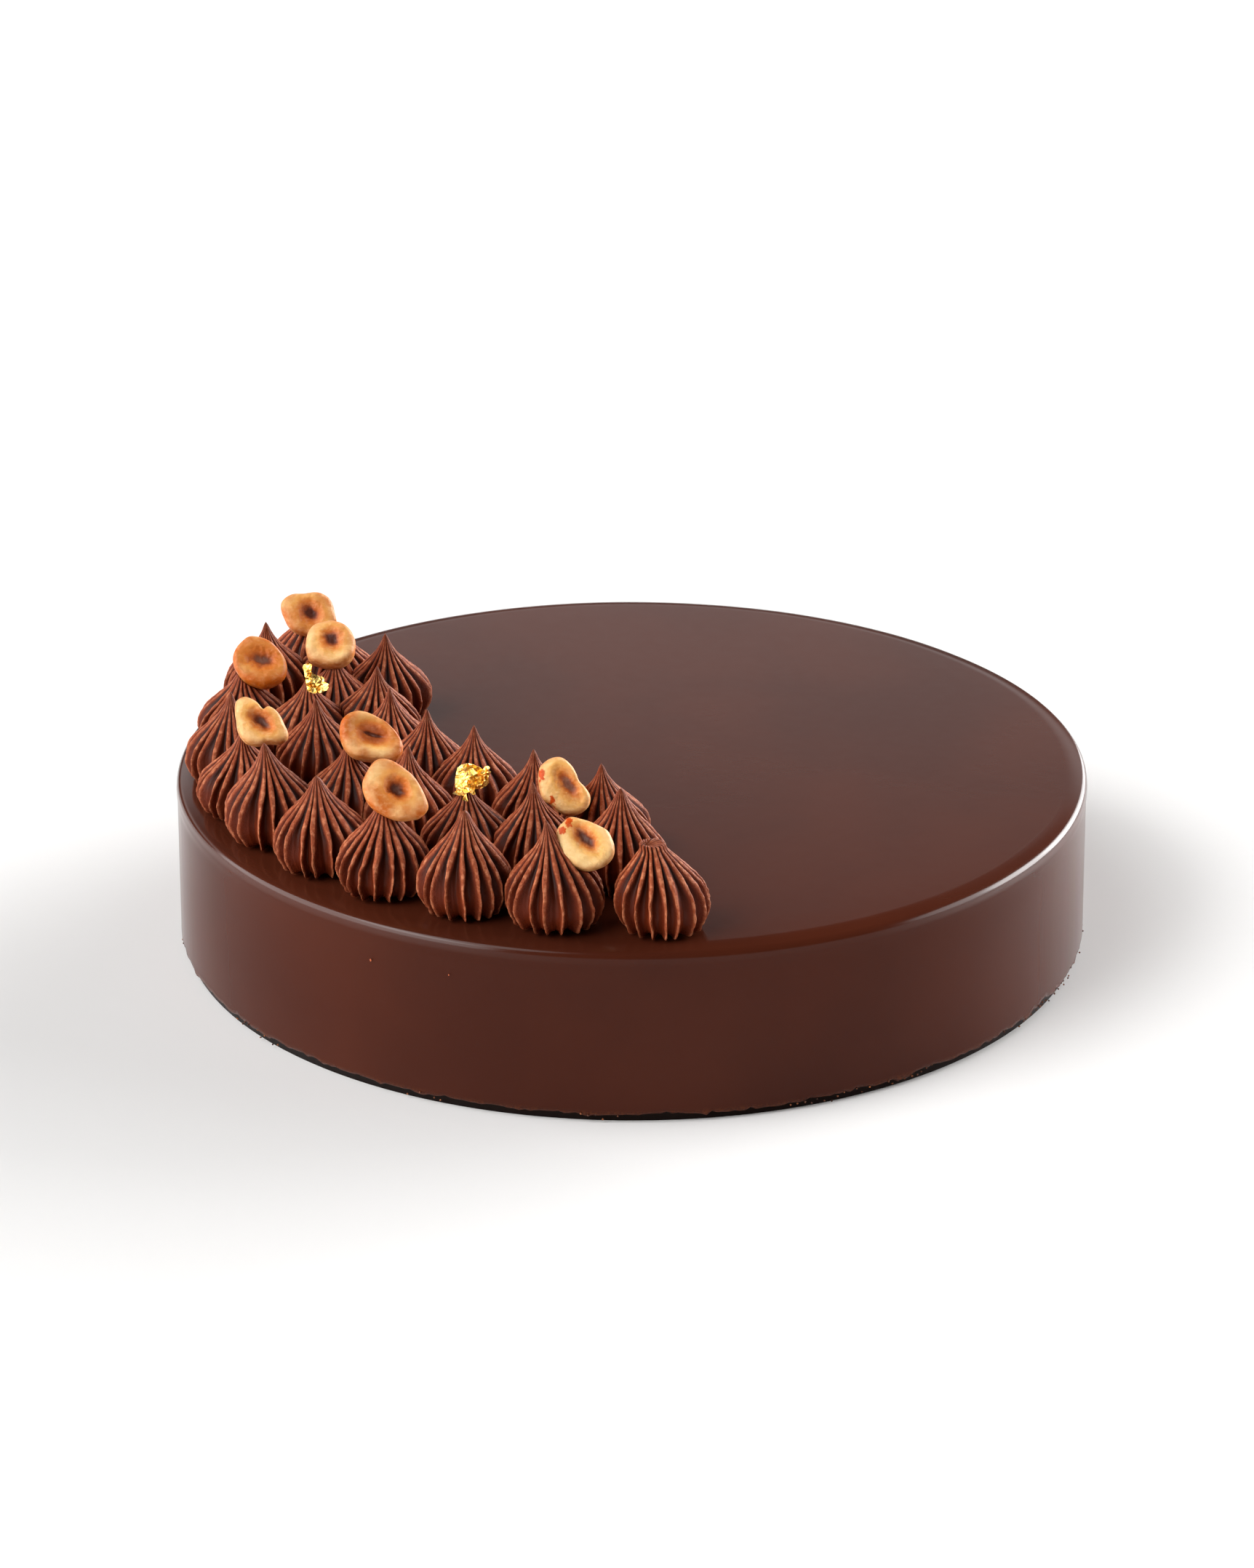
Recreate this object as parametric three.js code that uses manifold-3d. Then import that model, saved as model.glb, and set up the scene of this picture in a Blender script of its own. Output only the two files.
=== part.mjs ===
// Hazelnut chocolate truffle cake, whole: a low round cake under a dark glaze. A crescent of piped
// ganache kisses stands on its top, dressed with roasted hazelnut halves and two bits of gold leaf.
// Millimetres, +Z up. The origin is the centre of the underside, and -Y is the front.

import * as THREE from 'three';
import { mergeVertices } from 'three/addons/utils/BufferGeometryUtils.js';
import Module from 'manifold-3d';

const wasm = await Module();
wasm.setup();

// The glazed cake
const CAKE_RADIUS = 100;
const CAKE_HEIGHT = 38;
const RIM_ROUND = 3.5;
const RIM_STEPS = 4;
const FOOT_INSET = 1.2;
const FOOT_HEIGHT = 1.2;
const HEM_SLOPE = 0.8;
const CAKE_SIDES = 80;

// The piped kisses: an onion dome of sharp ribs, drawn up to a point
const KISS_RADIUS = 10;
const KISS_HEIGHT = 19.4;
const KISS_RIBS = 18;
const RIB_DEPTH = 0.13;
const RADIUS_SPREAD = 0.04;
const HEIGHT_SPREAD = 0.02;
const LEAN_SPREAD = 0.7;
const TWIST_SPREAD = 0.12;
const BLUNT_TIP = 1.5;
const BLUNT_LEVEL = 0.85;
const SEED = 4127;
const DRAW_STEP = 16807;
const DRAW_RANGE = 2147483647;

// A kiss in outline, from its foot to its tip: share of the radius, share of the height
const KISS_OUTLINE = [[0.78, 0], [1, 0.23], [0.81, 0.48], [0.48, 0.64], [0.2, 0.8]];

// The rows of kisses from the front round to the left: each one's bearing in degrees, clockwise
// from the front, and its reach from the cake's axis
const ROWS = {
  rim: {
    bearings: [-4, 10.5, 23.5, 36.5, 48.5, 60.5, 71.5, 83, 96.5, 111.5, 124],
    reaches: [87.5, 86, 85.5, 85.5, 86, 87, 87.5, 87.5, 86.5, 88, 88],
  },
  middle: {
    bearings: [2, 17.5, 31, 46.5, 60, 79.5, 92.5, 104, 117.5],
    reaches: [67, 66.5, 66.5, 64.5, 69.5, 69, 71, 68, 75],
  },
  inner: {
    bearings: [7, 25.5, 50, 66, 82, 96.5, 115.5],
    reaches: [49.5, 47, 44, 48.5, 53, 57, 61],
  },
};

// The kisses that stand out: drawn up higher, or left short where something was set on them
const HEIGHTS = {
  kiss_rim_01: 22,
  kiss_rim_02: 22,
  kiss_rim_03: 21.4,
  kiss_rim_04: 18,
  kiss_rim_06: 21.5,
  kiss_rim_09: 18.5,
  kiss_rim_11: 17.5,
  kiss_middle_01: 21.2,
  kiss_middle_02: 21.2,
  kiss_middle_04: 21.5,
  kiss_middle_05: 18.5,
  kiss_middle_08: 18.5,
  kiss_middle_09: 19,
};
const LEANS = { kiss_rim_01: [-2.2, 0.5], kiss_rim_02: [-1.7, 0] };

// How far some tips are drawn to the right, when seen from the front
const TIP_SHIFTS = {
  kiss_rim_05: -0.6,
  kiss_rim_06: -1.8,
  kiss_rim_10: -0.7,
  kiss_middle_01: -0.5,
  kiss_inner_03: 0.8,
  kiss_inner_06: 1.2,
  kiss_inner_07: -0.7,
};
const BLUNT = 'kiss_rim_01';

// Roasted hazelnut halves in outline, from the middle of the round back to the rim of the face:
// share of the way out to the edge, height above the edge in shares of the depth
const NUT_OUTLINE = [[0, -1], [0.5, -0.86], [0.87, -0.42], [1, 0], [0.84, 0.3]];
const NUT_DEPTH = 5.6;
const HOLLOW_FLOOR = -0.05;
const HOLLOW_TAPER = 0.5;

// Where each half lies: middle above the cake's top, tilt towards the front and roll in degrees.
// In its own face: the edge, counter-clockwise from the bottom, and the hollow's middle, angle,
// half length and half width
const NUTS = [
  {
    at: [-73.8, 45.2, 16.2],
    tilt: 52,
    roll: 4,
    edge: [
      [0.2, -5], [3, -5], [5.3, -3.7], [6.5, -1.6], [6.2, 0.6], [5.5, 2.7], [4.3, 4.3],
      [2.2, 5.2], [-0.8, 4.9], [-3.4, 4.8], [-5.3, 3.8], [-6.2, 2.1], [-5.4, -0.8], [-3.6, -3.7],
    ],
    hollow: { at: [0.6, 0.1], angle: -40, half: [1.7, 1.4] },
  },
  {
    at: [-66.8, 18, 19.2],
    tilt: 42,
    roll: -4,
    edge: [
      [0, -5.2], [2.8, -4.6], [4.9, -3], [5.5, -0.7], [5.4, 1.4], [4.5, 3.4], [2.9, 5],
      [1, 5.9], [-1.2, 5.8], [-3.4, 5.3], [-4.9, 3.5], [-5.5, 1.1], [-5.4, -1.5], [-4.3, -3.9],
    ],
    hollow: { at: [0.4, 0.9], angle: 90, half: [1.6, 1.5] },
  },
  {
    at: [-81.9, 10.8, 18.3],
    tilt: 44,
    roll: 6,
    edge: [
      [0.6, -6.2], [3.2, -5.6], [5.2, -4.2], [5.9, -2], [5.6, 0.3], [4.2, 2.6], [2.2, 4.5],
      [0, 5.5], [-2.6, 5.6], [-4.4, 4.3], [-5.6, 2.4], [-6.1, 0.2], [-5.3, -2.4], [-3.2, -4.8],
    ],
    hollow: { at: [0.6, -0.4], angle: -12, half: [2.7, 1.3] },
  },
  {
    at: [-78.8, -30.4, 20.6],
    tilt: 50,
    roll: 2,
    edge: [
      [-0.6, -5], [1.8, -4.5], [4.2, -4.5], [5.7, -3.8], [6, -2.3], [5.1, -0.2], [4.2, 1.7],
      [2.9, 3.1], [1.7, 3.5], [0.7, 2.9], [-0.6, 4.3], [-2.2, 5.3], [-3.8, 5.5], [-5.2, 4.6],
      [-5.3, 2.3], [-4.9, 0], [-4.4, -2.5], [-2.9, -4.4],
    ],
    hollow: { at: [0.2, 0.2], angle: -37, half: [2.5, 0.9] },
  },
  {
    at: [-55.1, -35.5, 19.6],
    tilt: 48,
    roll: 8,
    edge: [
      [-1.6, -5.3], [1.5, -5.4], [4.6, -5.3], [6.4, -4.1], [6.8, -1.7], [5.4, 1], [3.4, 2.9],
      [1.2, 4.3], [-0.9, 5.2], [-3, 5.5], [-4.9, 4.7], [-6.2, 3.1], [-6.5, 0.5], [-5.9, -2.3],
      [-4.1, -4.5],
    ],
    hollow: { at: [0.6, 0.6], angle: -18, half: [3.2, 1.6] },
  },
  {
    at: [-48.3, -69.8, 21.9],
    tilt: 52,
    roll: 8,
    edge: [
      [-0.4, -6], [1.6, -6.3], [3.4, -6.1], [5.2, -5.6], [6.7, -3.7], [6.3, -1.6], [5.1, 1],
      [3.5, 3.3], [1.4, 5], [-0.9, 6.2], [-2.8, 6.5], [-4.4, 5.7], [-5.8, 3.7], [-6.7, 1.2],
      [-6.1, -1.5], [-4.8, -3.5], [-2.6, -5],
    ],
    hollow: { at: [0.4, 0.1], angle: -46, half: [2.1, 1.2] },
  },
  {
    at: [-13.9, -54.1, 16.6],
    tilt: 58,
    roll: -2,
    edge: [
      [0.2, -6.5], [2.2, -6.4], [4, -5.5], [5.1, -4], [5.2, -2.3], [4.2, -0.7], [2.9, 0.7],
      [2.3, 2.2], [1.4, 3.8], [0, 5.2], [-1.6, 5.7], [-3.6, 5.1], [-5.2, 3.5], [-5.6, 1.2],
      [-5.3, -1], [-4.5, -3.2], [-2.6, -4.6], [-1.5, -5.6],
    ],
    hollow: { at: [0.2, -0.3], angle: -57, half: [2.7, 1.1] },
  },
  {
    at: [-9.4, -83.4, 16.2],
    tilt: 54,
    roll: 2,
    edge: [
      [0, -5.7], [2.2, -5.3], [4.2, -4.3], [5.5, -2.7], [5.8, -0.8], [5.3, 1], [4.4, 2.5],
      [2.8, 3.5], [0.9, 4.4], [-1.2, 5], [-3.2, 5.3], [-4.8, 4], [-5.8, 2.5], [-5.9, 0.8],
      [-5.5, -0.9], [-4.4, -3.2], [-2.3, -5],
    ],
    hollow: { at: [-0.3, 1.1], angle: -49, half: [3.1, 1.1] },
  },
];

// Bits of gold leaf, crumpled over two of the tips
const LEAF_THICKNESS = 0.5;
const LEAF_FOLDS = 4;
const LEAF_FOLD_HEIGHT = 0.7;
const LEAF_FOLD_WAVES = [11, 8];
const LEAF_RAGGED = 0.12;
const LEAF_RAGGED_WAVES = [9, 5];
const LEAVES = [
  { at: [-33.5, -57.6, 19.8], tilt: 55, roll: -6, turn: -30, length: 7.4, width: 6 },
  { at: [-69.4, 2.4, 18], tilt: 50, roll: 18, turn: -62, length: 7.4, width: 5 },
];

// Air kept between neighbours, and corners closer than this are one
const GAP = 0.3;
const WELD = 1e-3;

// Colours and finish
const GLAZE = { color: 0x5a372d, roughness: 0.3, metalness: 0 };
const GANACHE = { color: 0x63301f, roughness: 0.55, metalness: 0 };
const ROASTED_NUT = { color: 0xdca468, roughness: 0.5, metalness: 0 };
const GOLD = { color: 0xe0ad55, roughness: 0.3, metalness: 1 };

function radians(degrees) {
  return THREE.MathUtils.degToRad(degrees);
}

// Draws numbers from -1 to 1, the same ones each time
function seededSpread(seed) {
  let state = seed;
  return () => {
    state = (state * DRAW_STEP) % DRAW_RANGE;
    return (2 * state) / DRAW_RANGE - 1;
  };
}

function named(name, geometry, finish) {
  const mesh = new THREE.Mesh(geometry, new THREE.MeshStandardMaterial(finish));
  mesh.name = name;
  return mesh;
}

// A body turned about +Z from its outline: pairs of radius and height, both ends on the axis
function turned(outline, sides) {
  const points = outline.map(([radius, height]) => new THREE.Vector2(radius, height));
  return new THREE.LatheGeometry(points, sides).rotateX(Math.PI / 2);
}

function solidOf(geometry) {
  const bare = geometry.clone();
  bare.deleteAttribute('normal');
  bare.deleteAttribute('uv');
  const closed = mergeVertices(bare, WELD);
  const corners = closed.index.array;
  const triangles = [];
  for (let i = 0; i < corners.length; i += 3) {
    const [a, b, c] = corners.slice(i, i + 3);
    if (a !== b && b !== c && c !== a) triangles.push(a, b, c);
  }
  const vertProperties = new Float32Array(closed.attributes.position.array);
  const triVerts = new Uint32Array(triangles);
  return new wasm.Manifold(new wasm.Mesh({ numProp: 3, vertProperties, triVerts }));
}

function geometryOf(solid) {
  const mesh = solid.getMesh();
  const geometry = new THREE.BufferGeometry();
  geometry.setAttribute('position', new THREE.BufferAttribute(mesh.vertProperties, mesh.numProp));
  geometry.setIndex(new THREE.BufferAttribute(mesh.triVerts, 1));
  return geometry;
}

// The cake: a recessed foot under the glaze's hem, an upright side and a rounded rim
function glazedCake() {
  const outline = [
    [0, 0],
    [CAKE_RADIUS - FOOT_INSET, 0],
    [CAKE_RADIUS - FOOT_INSET, FOOT_HEIGHT],
    [CAKE_RADIUS, FOOT_HEIGHT + HEM_SLOPE],
  ];
  for (let step = 0; step <= RIM_STEPS; step += 1) {
    const angle = (Math.PI / 2) * (step / RIM_STEPS);
    const radius = CAKE_RADIUS - RIM_ROUND * (1 - Math.cos(angle));
    const height = CAKE_HEIGHT - RIM_ROUND * (1 - Math.sin(angle));
    outline.push([radius, height]);
  }
  outline.push([0, CAKE_HEIGHT]);
  return named('glazed_cake', turned(outline, CAKE_SIDES), GLAZE);
}

// Every kiss's place, size and unevenness, row by row
function plannedKisses() {
  const spread = seededSpread(SEED);
  const kisses = [];
  for (const [row, { bearings, reaches }] of Object.entries(ROWS)) {
    bearings.forEach((bearing, index) => {
      const name = `kiss_${row}_${String(index + 1).padStart(2, '0')}`;
      const angle = radians(-90 - bearing);
      kisses.push({
        name,
        foot: new THREE.Vector2(Math.cos(angle), Math.sin(angle)).multiplyScalar(reaches[index]),
        radius: KISS_RADIUS * (1 + RADIUS_SPREAD * spread()),
        height: HEIGHTS[name] ?? KISS_HEIGHT * (1 + HEIGHT_SPREAD * spread()),
        lean: new THREE.Vector2(...(LEANS[name] ?? [LEAN_SPREAD * spread(), LEAN_SPREAD * spread()]))
          .add(new THREE.Vector2(TIP_SHIFTS[name] ?? 0, 0)),
        twist: TWIST_SPREAD * spread(),
        phase: spread() * Math.PI,
        top: name === BLUNT ? BLUNT_LEVEL : 1,
      });
    });
  }
  return kisses;
}

// How far out a point may go from a kiss's leaning axis before it meets a neighbour half-way
function reachAllowed(kiss, centre, direction, others) {
  let allowed = Infinity;
  for (const other of others) {
    const away = other.foot.clone().sub(kiss.foot);
    const distance = away.length();
    away.divideScalar(distance);
    const facing = away.dot(direction);
    if (facing > 0) {
      allowed = Math.min(allowed, (distance / 2 - GAP / 2 - away.dot(centre)) / facing);
    }
  }
  return allowed;
}

// One kiss about its own foot: ribs, a slight twist and lean, squeezed flat against its neighbours
function kissGeometry(kiss, kisses) {
  const others = kisses.filter((other) => other !== kiss);
  const outline = KISS_OUTLINE.map(([share, level]) => [share * kiss.radius, level * kiss.height]);
  const top = kiss.top * kiss.height;
  const cap = kiss.top < 1 ? [[BLUNT_TIP, top]] : [];
  const rings = [[0, 0], ...outline, ...cap, [0, top]];
  const geometry = turned(rings, 2 * KISS_RIBS);
  const position = geometry.attributes.position;
  for (let i = 0; i < position.count; i += 1) {
    const column = Math.floor(i / rings.length);
    const level = position.getZ(i) / kiss.height;
    const groove = column % 2 === 1 ? 1 - RIB_DEPTH : 1;
    const radius = Math.hypot(position.getX(i), position.getY(i)) * groove;
    const angle = (Math.PI * column) / KISS_RIBS + kiss.phase + kiss.twist * level;
    const direction = new THREE.Vector2(Math.cos(angle), Math.sin(angle));
    const point = kiss.lean.clone().multiplyScalar(level * level);
    const reach = Math.min(radius, reachAllowed(kiss, point, direction, others));
    point.addScaledVector(direction, reach);
    position.setXY(i, point.x, point.y);
  }
  return geometry;
}

// A hazelnut half about its own middle, its face up; grow adds to it all round, and a half grown
// to press into ganache has no hollow
function nutGeometry({ edge, hollow }, grow, hollowed) {
  const depth = NUT_DEPTH + grow;
  const outline = NUT_OUTLINE.map(([share, level]) => [share, level * depth]);
  const rim = NUT_OUTLINE.at(-1)[1] * depth;
  const floor = HOLLOW_FLOOR * depth;
  if (hollowed) outline.push([1, rim], [HOLLOW_TAPER, floor]);
  outline.push([0, hollowed ? floor : rim]);
  const geometry = turned(outline, edge.length);
  const position = geometry.attributes.position;
  const middle = new THREE.Vector2();
  for (let i = 0; i < position.count; i += 1) {
    const ring = i % outline.length;
    const column = Math.floor(i / outline.length) % edge.length;
    const point = new THREE.Vector2(...edge[column]);
    if (hollowed && ring >= NUT_OUTLINE.length) {
      const turn = point.angle() - radians(hollow.angle);
      point.set(hollow.half[0] * Math.cos(turn), hollow.half[1] * Math.sin(turn));
      point.rotateAround(middle, radians(hollow.angle));
    } else {
      point.setLength(point.length() + grow);
    }
    point.multiplyScalar(outline[ring][0]);
    if (hollowed && ring >= NUT_OUTLINE.length) point.add(new THREE.Vector2(...hollow.at));
    position.setXY(i, point.x, point.y);
  }
  return geometry;
}

// A bit of gold leaf about its own middle: a thin sheet, folded both ways, with ragged edges
function leafGeometry({ length, width }, grow) {
  const thickness = LEAF_THICKNESS + 2 * grow;
  const sheet = [length + 2 * grow, width + 2 * grow, thickness];
  const geometry = new THREE.BoxGeometry(...sheet, LEAF_FOLDS, LEAF_FOLDS, 1);
  const position = geometry.attributes.position;
  for (let i = 0; i < position.count; i += 1) {
    const across = position.getX(i) / length;
    const along = position.getY(i) / width;
    const ragged = 1 + LEAF_RAGGED * Math.sin(LEAF_RAGGED_WAVES[0] * across + LEAF_RAGGED_WAVES[1] * along);
    const folds = Math.sin(LEAF_FOLD_WAVES[0] * across) + Math.cos(LEAF_FOLD_WAVES[1] * along);
    position.setX(i, position.getX(i) * ragged);
    position.setY(i, position.getY(i) * ragged);
    position.setZ(i, position.getZ(i) + (LEAF_FOLD_HEIGHT / 2) * folds);
  }
  return geometry;
}

function placed(mesh, { at, tilt, roll, turn = 0 }) {
  mesh.position.set(...at);
  mesh.rotation.set(radians(tilt), radians(roll), radians(turn));
  mesh.updateMatrix();
  return mesh;
}

// The kiss with the marks of what was set on it; a scrap of tip that this cuts loose is dropped
function pressed(geometry, foot, marks) {
  let solid = solidOf(geometry.translate(foot.x, foot.y, 0));
  for (const mark of marks) solid = solid.subtract(mark);
  const pieces = solid.decompose();
  pieces.sort((a, b) => b.volume() - a.volume());
  return geometryOf(pieces[0]).translate(-foot.x, -foot.y, 0);
}

const topping = new THREE.Group();
topping.position.z = CAKE_HEIGHT + GAP;
const marks = [];

NUTS.forEach((nut, index) => {
  const mesh = placed(named(`hazelnut_half_${index + 1}`, nutGeometry(nut, 0, true), ROASTED_NUT), nut);
  marks.push(solidOf(nutGeometry(nut, GAP, false).applyMatrix4(mesh.matrix)));
  topping.add(mesh);
});

LEAVES.forEach((leaf, index) => {
  const mesh = placed(named(`gold_leaf_${index + 1}`, leafGeometry(leaf, 0), GOLD), leaf);
  marks.push(solidOf(leafGeometry(leaf, GAP).applyMatrix4(mesh.matrix)));
  topping.add(mesh);
});

const kisses = plannedKisses();
for (const kiss of kisses) {
  const mesh = named(kiss.name, pressed(kissGeometry(kiss, kisses), kiss.foot, marks), GANACHE);
  mesh.position.set(kiss.foot.x, kiss.foot.y, 0);
  topping.add(mesh);
}

const cake = new THREE.Group();
cake.add(glazedCake(), topping);

export default cake;
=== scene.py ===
import math
import random
from collections import Counter

import bmesh
import bpy
from mathutils import Euler, Matrix, Vector, noise


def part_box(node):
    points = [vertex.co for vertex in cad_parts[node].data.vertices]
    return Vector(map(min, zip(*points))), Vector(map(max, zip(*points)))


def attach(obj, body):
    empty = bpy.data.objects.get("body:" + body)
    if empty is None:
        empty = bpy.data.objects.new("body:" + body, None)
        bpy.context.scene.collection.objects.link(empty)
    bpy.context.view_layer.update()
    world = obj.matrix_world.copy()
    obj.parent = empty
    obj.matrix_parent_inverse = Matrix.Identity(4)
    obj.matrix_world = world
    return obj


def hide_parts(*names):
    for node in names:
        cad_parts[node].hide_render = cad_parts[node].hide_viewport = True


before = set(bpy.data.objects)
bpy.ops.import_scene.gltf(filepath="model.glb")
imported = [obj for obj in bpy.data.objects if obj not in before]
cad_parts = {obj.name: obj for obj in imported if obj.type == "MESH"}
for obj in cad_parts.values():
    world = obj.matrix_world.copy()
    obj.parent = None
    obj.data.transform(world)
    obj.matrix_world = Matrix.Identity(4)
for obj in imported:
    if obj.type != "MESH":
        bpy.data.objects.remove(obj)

# Hazelnut chocolate truffle cake: a glazed round cake, a crescent of piped ganache kisses,
# roasted hazelnut halves and two bits of gold leaf. Metres, +Z up, and -Y is the front.

MM = 0.001
scene = bpy.context.scene
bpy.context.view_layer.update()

# Where the photograph was taken from, in its frame of 1724 by 2156 pixels
CAMERA_PLACE = Vector((-1.1, -901.0, 416.1)) * MM
CAMERA_PITCH = math.radians(23.09)
FRAME_HEIGHT_PX = 2156
FOCAL_LENGTH_PX = 6112.6
SENSOR = 36.0

# The glazed cake: the hem over its foot, its side, its rounded rim and the glaze's unevenness
FOOT_INSET = 1.1 * MM
HEM_HEIGHT = 1.6 * MM
HEM_RAGGED = 1.5 * MM
HEM_CHAMFER = 0.5 * MM
HEM_UNDERCUT = 0.8
SIDE_TAPER = 0.5 * MM
LIP = 0.2 * MM
LIP_HEIGHT = 35.2 * MM
LIP_SPREAD = 1.2 * MM
RIM_ROUND = 1.5 * MM
RIM_SLOPE = math.radians(14)
RIM_SLOPE_WIDTH = 3.5 * MM
GLAZE_RIPPLE = 0.12 * MM
RIPPLES_ROUND = 4
RIPPLES_UP = 30
CAKE_COLUMNS = 540
SIDE_STEPS = 44
RIM_STEPS = 18
TOP_STEPS = 10

# The tears in the hem, coarse to fine: share of the raggedness, tears to a turn
HEM_TEARS = ((0.7, 9), (0.9, 38), (0.9, 90))

# Where the glaze changes, in millimetres up from the underside and out from the axis
HEM_RISE = (0.8, 3.0)
# The foot's band, painted near-black as shade under the hem
SHADED_FOOT_RISE = (2.5, 3.0)
SHADED_FOOT_REACH = (99.1, 99.5)
SHINE_RISE = (34.6, 36.0)
SHINE_REACH = (94.5, 97.5)

# Where the rim's shine grows and ends, from left to right, and where it is calm at the front
SHINE_GROWS = (-30.0, 50.0)
SHINE_ENDS = (80.0, 96.0)
CALM_STARTS = (-50.0, -5.0)
CALM_ENDS = (45.0, 75.0)
CALM_BACK = (-80.0, -50.0)

# A piped kiss in outline: level from foot to tip, share of the radius
KISS_OUTLINE = (
    (0.0, 0.74), (0.03, 0.83), (0.08, 0.9), (0.15, 0.97), (0.225, 1.0), (0.3, 0.985),
    (0.38, 0.935), (0.45, 0.845), (0.52, 0.72), (0.59, 0.575), (0.66, 0.435), (0.73, 0.3),
    (0.81, 0.185), (0.89, 0.1), (0.96, 0.045), (1.0, 0.0),
)
# How slim a kiss is drawn above its girth; 1 is as in the outline
SLIMNESS = {
    "kiss_rim_01": 0.98, "kiss_rim_03": 0.76, "kiss_rim_04": 0.6, "kiss_rim_05": 0.8, "kiss_rim_06": 0.88,
    "kiss_middle_01": 0.8,
}
# How far a tip is moved from its solid's (millimetres)
TIP_SHIFT = {"kiss_rim_01": (-1.8, 0.0, -0.7)}
KISS_RIBS = 18
RIB_COLUMNS = 14
KISS_RINGS = 84
RIB_DEPTH = 0.19
RIB_SPREAD = 0.15
RIB_WANDER = 0.3
CREST_CROWDING = 1.6
GROOVE_SLOPE = 0.35
GROOVE_IN = 0.4 * MM
GROOVE_LIFT = 0.35 * MM
SOLE_PART = 0.05
TOE_LEVEL = 0.07
TOE_OUT = 0.5 * MM
GRAIN = 0.42 * MM
BEADS = 0.4 * MM
WAVE = 0.7 * MM
WAVE_RADIUS = 10 * MM
KISS_LUMP = 0.14
TWIST = 0.16
TWIST_STEP = 2.4
TURN_STEP = 1.9

# How the kisses meet each other and the nuts
NEIGHBOUR_GAP = 0.15 * MM
SQUEEZES = 2
SQUEEZE_SOFT = 0.5 * MM
LEAST_FACING = 0.05
OWN_FOOT = 1 * MM
NUT_GAP = 0.1 * MM
NUT_SEARCH = 0.1

# The kiss with a blunt tip, and the height of a kiss whose tip is pressed away
BLUNT_KISS = "kiss_rim_01"
BLUNT_LEVEL = 0.8
BLUNT_BUTTON = 0.06
BLUNT_FLARE = 0.25
BLUNT_DIP = 0.6 * MM
PRESSED_HEIGHT = 18.2 * MM

# How a kiss's foot and tip are told apart on its solid (millimetres above its lowest corner)
FOOT_BAND = 0.1
LEAST_TIP = 10

# A hazelnut half in outline, from the middle of its round back to the middle of its face:
# way along, share of the half width, height in shares of the depth
NUT_OUT = (
    (0.0, 0.0), (0.08, 0.42), (0.17, 0.73), (0.27, 0.93), (0.36, 1.0), (0.44, 0.985),
    (0.52, 0.91), (0.6, 0.78), (0.7, 0.59), (0.8, 0.39), (0.9, 0.19), (1.0, 0.0),
)
NUT_UP = (
    (0.0, -1.0), (0.08, -0.93), (0.17, -0.7), (0.27, -0.34), (0.36, 0.0), (0.44, 0.18),
    (0.52, 0.3), (0.6, 0.355), (0.7, 0.37), (0.8, 0.37), (0.9, 0.37), (1.0, 0.37),
)
NUT_DEPTH = 5.6 * MM
NUT_HALF_WIDTH = 6 * MM
NUT_LUMP = 0.08
NUT_COLUMNS = 140
NUT_RINGS = 104
RING_BAND = 0.05
FACE_WAVES = 1.2 * MM
HALO_WIDTH = 0.6 * MM
FLECK_SHAPES = {"Fleck A": (1.0, 0.42, 1.0), "Fleck B": (1.0, 0.7, 1.0)}
FLECK_RAGGED = 2.4 * MM
FLECK_EDGE = (0.45 * MM, 0.7 * MM)

# The halves in turn. How each lies (degrees), and on its face (millimetres to the right and up):
# the slit's middle, angle, half length and half width, and depth, how far it browned round the slit,
# how deep the face is dished and how brown the whole was roasted. Some have their own darkness and
# dullness of the slit, softness of the browning and places of two skin flecks
NUTS = (
    dict(tilt=52, roll=4, slit=(0.5, 0.2), angle=-45, reach=(1.9, 1.3), deep=0.5,
         halo=1.8, dish=0.6, roast=0.6),
    dict(tilt=42, roll=-4, slit=(0.4, 1.0), angle=90, reach=(1.6, 1.5), deep=0.35,
         halo=1.2, dish=0.3, roast=0.42),
    dict(tilt=44, roll=6, slit=(0.3, 0.1), angle=-10, reach=(2.6, 1.6), deep=0.5,
         halo=1.6, dish=0.5, roast=1.1, ink=0.95, dull=0.6),
    dict(tilt=50, roll=2, slit=(0.4, 0.1), angle=-42, reach=(2.0, 0.9), deep=1.1,
         halo=1.7, dish=0.5, roast=0.2, dull=0.3),
    dict(tilt=48, roll=8, slit=(0.3, 0.4), angle=-16, reach=(1.9, 0.4), deep=0.6,
         halo=4.4, dish=1.3, roast=0.85, ink=1.2, dull=0.2, soft=1.5),
    dict(tilt=52, roll=8, slit=(0.4, 0.2), angle=-46, reach=(1.8, 1.4), deep=1.7,
         halo=1.2, dish=0.4, roast=0.8, dull=0.8),
    dict(tilt=58, roll=-2, slit=(0.7, -0.1), angle=-57, reach=(2.8, 1.1), deep=0.6,
         halo=1.8, dish=0.5, roast=0.0, ink=0.78, dull=0.6, skin=((-4.9, 1.9), (-2.5, -3.7))),
    dict(tilt=54, roll=2, slit=(-0.1, 0.9), angle=-49, reach=(2.6, 0.9), deep=0.8,
         halo=2.0, dish=0.6, roast=0.0, ink=0.95, dull=0.3, soft=1.9, skin=((-3.5, 4.2), (-4.8, 2.3))),
)
# What a half has where nothing of its own is given; its flecks are far off its face
PLAIN_NUT = dict(ink=1.0, dull=0.0, soft=2.5, skin=((90, 0), (90, 0)))

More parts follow.
